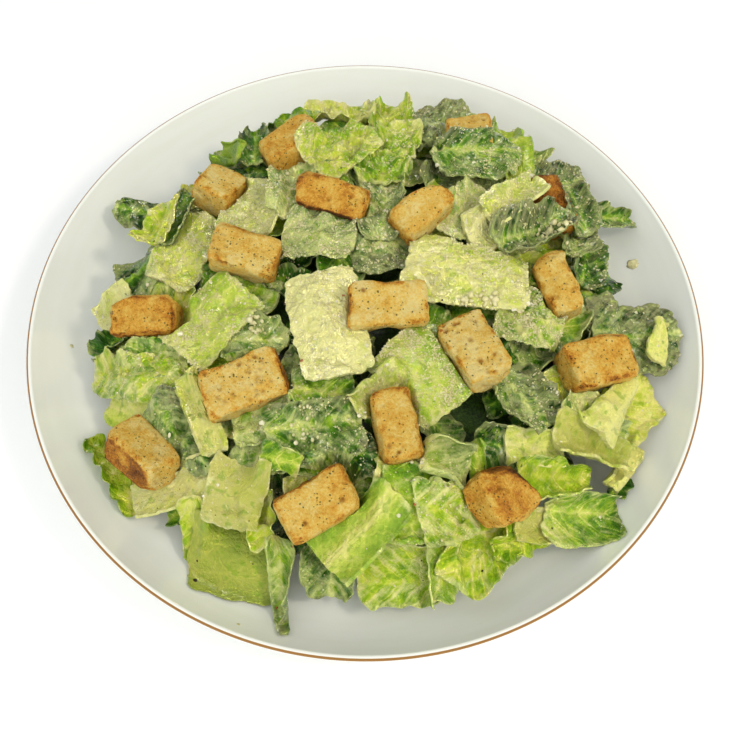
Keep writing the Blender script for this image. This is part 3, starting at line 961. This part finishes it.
def roundedBlock(half, radius, step):
    # a block of even quads with rounded edges; returns places from the middle, and quads
    counts = [max(4, round(2 * h / step)) for h in half]
    lines = [np.linspace(-h, h, n + 1) for h, n in zip(half, counts)]
    verts, faces, offset = [], [], 0
    for axis in range(3):
        u, v = (axis + 1) % 3, (axis + 2) % 3
        for sign in (-1, 1):
            grid = np.zeros((counts[u] + 1, counts[v] + 1, 3))
            grid[..., axis] = sign * half[axis]
            grid[..., u] = lines[u][:, None]
            grid[..., v] = lines[v][None, :]
            index = np.arange(grid.shape[0] * grid.shape[1]).reshape(grid.shape[:2]) + offset
            quads = np.stack([index[:-1, :-1], index[1:, :-1], index[1:, 1:], index[:-1, 1:]], 2).reshape(-1, 4)
            faces.append(quads if sign > 0 else quads[:, ::-1])
            verts.append(grid.reshape(-1, 3))
            offset += grid.shape[0] * grid.shape[1]
    verts = np.concatenate(verts)
    kept, where = np.unique(np.round(verts, 4), axis=0, return_inverse=True)
    faces = where.ravel()[np.concatenate(faces)]
    inner = np.clip(kept, -(half - radius), half - radius)
    away = kept - inner
    return inner + away / np.linalg.norm(away, axis=1, keepdims=True) * radius, faces


def vertexNormals(points, faces):
    cross = np.cross(points[faces[:, 2]] - points[faces[:, 0]], points[faces[:, 3]] - points[faces[:, 1]])
    total = np.zeros_like(points)
    for k in range(4):
        np.add.at(total, faces[:, k], cross)
    return total / np.linalg.norm(total, axis=1, keepdims=True)


def addCrouton(number, material):
    name = f"crouton_{number:02d}"
    draw = np.random.default_rng(100 + number)
    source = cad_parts[name].data
    axes = blockAxes(source)
    local = np.array([v.co[:] for v in source.vertices]) / mm @ axes.T
    middle, half = (local.max(0) + local.min(0)) / 2, (local.max(0) - local.min(0)) / 2
    unit, faces = roundedBlock(half, bread["rounding"] * draw.uniform(0.8, 1.3), bread["step"])
    unit = unit / half
    points = np.zeros_like(unit)
    for sx in (-1, 1):
        for sy in (-1, 1):
            for sz in (-1, 1):
                sign = np.array((sx, sy, sz))
                corner = local[np.argmax(local @ sign)] + sign * bread["cadRounding"] * (1 - 1 / math.sqrt(3))
                weight = np.prod((1 + unit * sign) / 2, axis=1)
                points += weight[:, None] * corner
    near = np.sort(half - abs(unit * half), axis=1)
    edge = 1 - smoothStep(0.3, 2.6, near[:, 1])
    for k in range(4):
        towards = draw.choice((-1, 0, 1, 1, -1), 3).astype(float)
        towards += draw.uniform(-0.3, 0.3, 3)
        towards /= np.linalg.norm(towards)
        reach = (points - middle) @ towards
        cut = reach.max() - draw.uniform(0.6, 2.4) * (1.6 if number == 17 else 1)
        points -= towards * (np.maximum(0, reach - cut) * 0.8)[:, None]
    for towards in uneven.get(number, ()):
        towards = np.array(towards) / np.linalg.norm(towards)
        reach = points @ axes @ towards
        points -= (axes @ towards) * (np.maximum(0, reach - reach.max() + 3.6) * 0.85)[:, None]
    key = number * 11.7
    x, y, z = points.T
    lump = np.stack([softNoise(x / bread["lump"], y / bread["lump"], z / bread["lump"] + key + k * 31)
                     for k in range(3)], axis=1)
    points = points + lump * 0.75
    normals = vertexNormals(points, faces)
    open_ = smoothStep(-0.1, 0.5, softNoise(x / 4, y / 4, z / 4 + key))
    pit = np.zeros(len(points))
    for spacing, share in ((bread["poreSpacing"], 0.30), (1.8, 0.34)):
        cells = np.stack([x, y, z], axis=1) / spacing + key
        base = np.floor(cells).astype(np.int64)
        close = np.full(len(points), 9.0)
        for dx in (-1, 0, 1):
            for dy in (-1, 0, 1):
                for dz in (-1, 0, 1):
                    c = base + np.array((dx, dy, dz))
                    jx = latticeValue(c[:, 0], c[:, 1], c[:, 2])
                    jy = latticeValue(c[:, 0] + 71, c[:, 1], c[:, 2])
                    jz = latticeValue(c[:, 0], c[:, 1] + 37, c[:, 2])
                    spot = c + np.stack([jx, jy, jz], axis=1)
                    close = np.minimum(close, np.linalg.norm(spot - cells, axis=1) + (jx < 0.45))
        pit = np.maximum(pit, (1 - smoothStep(share * 0.5, share * 1.2, close)) * spacing / bread["poreSpacing"])
    pit *= 0.2 + 0.8 * open_
    grain = softNoise(x / bread["grain"], y / bread["grain"], z / bread["grain"] + key)
    rough = softNoise(x / 2.6, y / 2.6, z / 2.6 + key)
    inward = 0.15 + 1.25 * pit - 0.21 * grain - 0.28 * rough + 0.5 * edge * np.maximum(0, grain + rough)
    points = points - normals * inward[:, None]

    allOver, towards, strength = toasting[number]
    towards = np.array(towards) / np.linalg.norm(towards)
    facing = smoothStep(0.35, 0.9, normals @ axes @ towards)
    brown = allOver + (strength - allOver) * np.clip(facing, 0, 1) * (0.85 + 0.15 * lump[:, 0])
    world = np.array([v.co[:] for v in source.vertices]) / mm
    points = np.clip(points @ axes, world.min(0) + 0.05, world.max(0) - 0.05)
    obj = buildMesh(f"toasted_crouton_{number:02d}", points, faces,
                    {"brown": brown, "pit": pit, "edge": edge}, material)
    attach(obj, "root")
    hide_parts(name)
    return len(faces) * 2


# Grated cheese, dressing and seasoning

cheeseGrains = {"count": 5600, "radius": (0.12, 0.50), "crumbs": 150, "crumbRadius": (0.6, 1.3), "seed": 8}
crumbHeaps = [(-39, -18, 3), (39, -10, 5), (43, -7, 4), (56, -5, 6), (68, 28, 4), (74, 26, 3), (-20, -55, 6),
              (20, 62, 8), (-30, 50, 8), (0, 18, 9), (-44, 30, 8)]       # x, y, reach
dressingDrops = {"count": 300, "radius": (0.22, 0.80), "seed": 14}
pepperGrains = {"count": 60, "radius": (0.18, 0.4), "seed": 30}
# single bits on the salad and smears on the bare plate: x, y, radius
largeBead = [(71, 30, 1.3), (-66, -20, 1.1), (-35, -55, 0.9)]
spiceGrains = [(-65, 1, 0.6), (-22, -34, 0.7), (-30, -110, 0.5), (17, -81, 0.6), (-22, -89, 0.5), (-8, -8, 0.5)]
largePepper = [(-59, -100, 0.75), (-62, 0, 0.5)]
plateSmears = [(110, 36, 2.0), (98, 40, 1.3), (97, 28, 1.4), (-116, -6, 0.6), (-42, -117, 0.6)]


def gratedCheese():
    # parmesan, grated: dry, pale straw crumbs with a slight glow
    material, tree, shader = newMaterial("parmesan, grated", Roughness=0.7)
    where = addNode(tree, "NewGeometry").outputs["Position"]
    tint = addNode(tree, "TexNoise", {"Vector": where, "Scale": 500.0, "Detail": 2.0})
    colour = addNode(tree, "ValToRGB", {0: tint.outputs["Fac"]}, stops=[(0.3, "#cec68a"), (0.7, "#e6dfb0")])
    tree.links.new(colour.outputs[0], shader.inputs["Base Color"])
    shader.inputs["Specular IOR Level"].default_value = 0.2
    shader.inputs["Subsurface Weight"].default_value = 0.2
    shader.inputs["Subsurface Radius"].default_value = (1.0, 0.8, 0.4)
    shader.inputs["Subsurface Scale"].default_value = 0.001
    return material


def creamyDressing():
    # egg and anchovy dressing: thick, off-white, wet
    material, tree, shader = newMaterial("caesar dressing, creamy", Roughness=0.22, IOR=1.42)
    where = addNode(tree, "NewGeometry").outputs["Position"]
    tint = addNode(tree, "TexNoise", {"Vector": where, "Scale": 300.0, "Detail": 3.0})
    colour = addNode(tree, "ValToRGB", {0: tint.outputs["Fac"]}, stops=[(0.3, "#d3ceaa"), (0.7, "#e2dcbd")])
    tree.links.new(colour.outputs[0], shader.inputs["Base Color"])
    bump = addNode(tree, "Bump", {"Height": tint.outputs["Fac"], "Strength": 0.25, "Distance": 0.0003})
    tree.links.new(bump.outputs[0], shader.inputs["Normal"])
    shader.inputs["Subsurface Weight"].default_value = 0.25
    shader.inputs["Subsurface Radius"].default_value = (1.0, 0.9, 0.6)
    shader.inputs["Subsurface Scale"].default_value = 0.001
    return material


def crackedPepper():
    # black peppercorn, cracked: dull, dark brown
    material, tree, shader = newMaterial("peppercorn, cracked", Roughness=0.6)
    where = addNode(tree, "NewGeometry").outputs["Position"]
    tint = addNode(tree, "TexNoise", {"Vector": where, "Scale": 900.0, "Detail": 2.0})
    colour = addNode(tree, "ValToRGB", {0: tint.outputs["Fac"]}, stops=[(0.3, "#1d140c"), (0.7, "#4a3420")])
    tree.links.new(colour.outputs[0], shader.inputs["Base Color"])
    return material


def paprika():
    # sweet paprika and toasted spice from the dressing: dull brick red
    material, tree, shader = newMaterial("paprika, ground", Roughness=0.6)
    where = addNode(tree, "NewGeometry").outputs["Position"]
    tint = addNode(tree, "TexNoise", {"Vector": where, "Scale": 900.0, "Detail": 2.0})
    colour = addNode(tree, "ValToRGB", {0: tint.outputs["Fac"]}, stops=[(0.3, "#8c4a22"), (0.7, "#b9713a")])
    tree.links.new(colour.outputs[0], shader.inputs["Base Color"])
    return material


def ballShape(level):
    import bmesh
    bm = bmesh.new()
    bmesh.ops.create_icosphere(bm, subdivisions=level, radius=1.0)
    verts = np.array([v.co[:] for v in bm.verts])
    faces = np.array([[v.index for v in f.verts] for f in bm.faces])
    bm.free()
    return verts, faces


def scatterBits(name, places, normals, radii, level, flatten, rough, seed, material, slotName):
    # small lumps, each squashed towards its normal and uneven, joined in one mesh
    draw = np.random.default_rng(seed)
    ball, tris = ballShape(level)
    count, n = len(places), len(ball)
    wild = draw.normal(size=(count, 3))
    side = np.cross(normals, wild)
    side /= np.linalg.norm(side, axis=1, keepdims=True)
    other = np.cross(normals, side)
    uneven = 1 + rough * draw.uniform(-1, 1, (count, n))
    stretch = draw.uniform(0.75, 1.3, (count, 2))
    a = ball[None, :, 0] * uneven * stretch[:, :1] * radii[:, None]
    b = ball[None, :, 1] * uneven * stretch[:, 1:] * radii[:, None]
    c = ball[None, :, 2] * uneven * flatten * radii[:, None]
    verts = (places[:, None] + a[..., None] * side[:, None] + b[..., None] * other[:, None]
             + c[..., None] * normals[:, None])
    faces = (tris[None] + (np.arange(count) * n)[:, None, None]).reshape(-1, 3)
    obj = buildMesh(name, verts.reshape(-1, 3), faces, {}, material)
    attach(obj, "root")
    return obj


def visibleSurface():
    points = np.concatenate(surface["points"])
    normal = np.concatenate(surface["normal"])
    cheese = np.concatenate(surface["cheese"])
    wet = np.concatenate(surface["wet"])
    normal = normal * np.where(normal[:, 2:] < 0, -1, 1)
    x, y, z = points.T
    bare = (z > sampleMap(pile, x, y) - 0.9) & (sampleMap(croutonTop, x, y) < z) & (np.hypot(x, y) < 124)
    return points[bare], normal[bare], cheese[bare], wet[bare]


def addToppings():
    points, normal, cheese, wet = visibleSurface()
    x, y, z = points.T
    draw = np.random.default_rng(cheeseGrains["seed"])
    clump = smoothStep(-0.05, 0.6, softNoise(x / 4.2, y / 4.2, 3.0)) ** 2 + 0.03
    weight = np.clip(cheese, 0, 1) ** 1.3 * clump * np.clip(normal[:, 2], 0.05, 1)
    chosen = draw.choice(len(points), cheeseGrains["count"], p=weight / weight.sum())
    small, large = cheeseGrains["radius"]
    radii = small + (large - small) * draw.random(len(chosen)) ** 2.2
    places = points[chosen] + draw.uniform(-0.3, 0.3, (len(chosen), 3)) + normal[chosen] * radii[:, None] * 0.4
    crumbPlaces, crumbNormals, crumbRadii = [], [], []
    for cx, cy, reach in crumbHeaps:
        away = np.hypot(x - cx, y - cy)
        near = np.nonzero(away < reach)[0]
        if len(near):
            pick = draw.choice(near, cheeseGrains["crumbs"] // len(crumbHeaps))
            size = draw.uniform(*cheeseGrains["crumbRadius"], len(pick)) * (0.6 + 0.4 * (reach < 6))
            crumbPlaces.append(points[pick] + normal[pick] * size[:, None] * 0.5)
            crumbNormals.append(normal[pick])
            crumbRadii.append(size)
    places = np.concatenate([places] + crumbPlaces)
    normals = np.concatenate([normal[chosen]] + crumbNormals)
    radii = np.concatenate([radii] + crumbRadii)
    scatterBits("parmesan_grains", places, normals, radii, 1, 0.75, 0.3, 4, gratedCheese(), "romaine")

    draw = np.random.default_rng(dressingDrops["seed"])
    weight = np.clip(wet, 0, 1) ** 2 * np.clip(normal[:, 2], 0.05, 1)
    chosen = draw.choice(len(points), dressingDrops["count"], p=weight / weight.sum())
    small, large = dressingDrops["radius"]
    radii = small + (large - small) * draw.random(len(chosen)) ** 2.6
    beads, beadNormals, beadRadii = singleBits(points, normal, largeBead)
    smears = np.array(plateSmears, float)
    away = np.hypot(smears[:, 0], smears[:, 1])
    slope = (plateInside(away + 0.5) - plateInside(away - 0.5)) / away
    flat = np.column_stack([-smears[:, 0] * slope, -smears[:, 1] * slope, np.ones(len(smears))])
    flat /= np.linalg.norm(flat, axis=1, keepdims=True)
    onPlate = np.column_stack([smears[:, :2], plateInside(away)])
    dressing = creamyDressing()
    scatterBits("dressing_drops", np.concatenate([points[chosen] + normal[chosen] * 0.1, beads]),
                np.concatenate([normal[chosen], beadNormals]), np.concatenate([radii, beadRadii]), 2, 0.5, 0.16, 5,
                dressing, "romaine")
    scatterBits("dressing_smears", onPlate, flat, smears[:, 2], 3, 0.2, 0.3, 9, gratedCheese(), "romaine")

    draw = np.random.default_rng(pepperGrains["seed"])
    chosen = draw.choice(len(points), pepperGrains["count"])
    radii = draw.uniform(*pepperGrains["radius"], len(chosen))
    lumps, lumpNormals, lumpRadii = singleBits(points, normal, largePepper)
    scatterBits("pepper_grains", np.concatenate([points[chosen] + normal[chosen] * 0.15, lumps]),
                np.concatenate([normal[chosen], lumpNormals]), np.concatenate([radii, lumpRadii]), 1, 0.7, 0.3, 6,
                crackedPepper(), "romaine")
    scatterBits("paprika_grains", *singleBits(points, normal, spiceGrains), 1, 0.6, 0.3, 7, paprika(), "romaine")


def singleBits(points, normal, spots):
    places, normals = [], []
    for x, y, radius in spots:
        near = np.argmin(np.hypot(points[:, 0] - x, points[:, 1] - y) - 0.02 * points[:, 2])
        places.append(points[near] + normal[near] * radius * 0.2)
        normals.append(normal[near])
    return np.array(places), np.array(normals), np.array([radius for x, y, radius in spots])


pile = blankMap(0)
surface = {"points": [], "normal": [], "cheese": [], "wet": []}
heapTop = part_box("lettuce")[1].z / mm
middleOfMap = np.arange(mapSize) - mapSize / 2
pile[:] = plateInside(np.hypot(middleOfMap[:, None], middleOfMap[None, :]))

addCamera()
addStudio()
print("studio ready")
addPlate()
print("plate turned")
croutonTop, croutonUnder = croutonMaps()
addCore()
addRomaine()
print("romaine laid")
breadMaterial = toastedBread()
print("crouton triangles", sum(addCrouton(number, breadMaterial) for number in sorted(toasting)))
addToppings()
print("toppings strewn")
